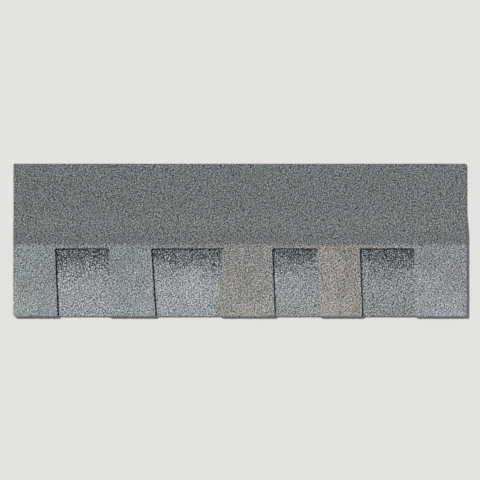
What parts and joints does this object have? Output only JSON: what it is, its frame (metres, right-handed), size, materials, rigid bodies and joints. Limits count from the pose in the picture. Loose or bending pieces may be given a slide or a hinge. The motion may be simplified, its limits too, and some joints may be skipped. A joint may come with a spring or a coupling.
{
  "type": "laminated asphalt shingle",
  "caption": "Laminated asphalt roofing shingle: granule-surfaced top sheet with flared teeth, glued over a plain backing strip.",
  "frame": {"origin": "centre of the footprint, at the level of the floor that the shingle lies on", "axes": "+X along the butt edge, to the right with the face seen from above; +Y up the roof slope, from the butt edge to the head edge; +Z out of the granule-surfaced face"},
  "size_m": [1, 0.337, 0.006],
  "materials": {
    "granule_top_sheet": "matte",
    "granule_backing_strip": "matte",
    "asphalt_adhesive": "satin",
    "self_seal_asphalt": "gloss",
    "release_film": "satin"
  },
  "bodies": {
    "root": {"top_sheet": "granule_top_sheet", "backing_strip": "granule_backing_strip", "laminating_adhesive": "asphalt_adhesive", "sealant_dashes": "self_seal_asphalt", "release_film": "release_film"}
  },
  "joints": []
}
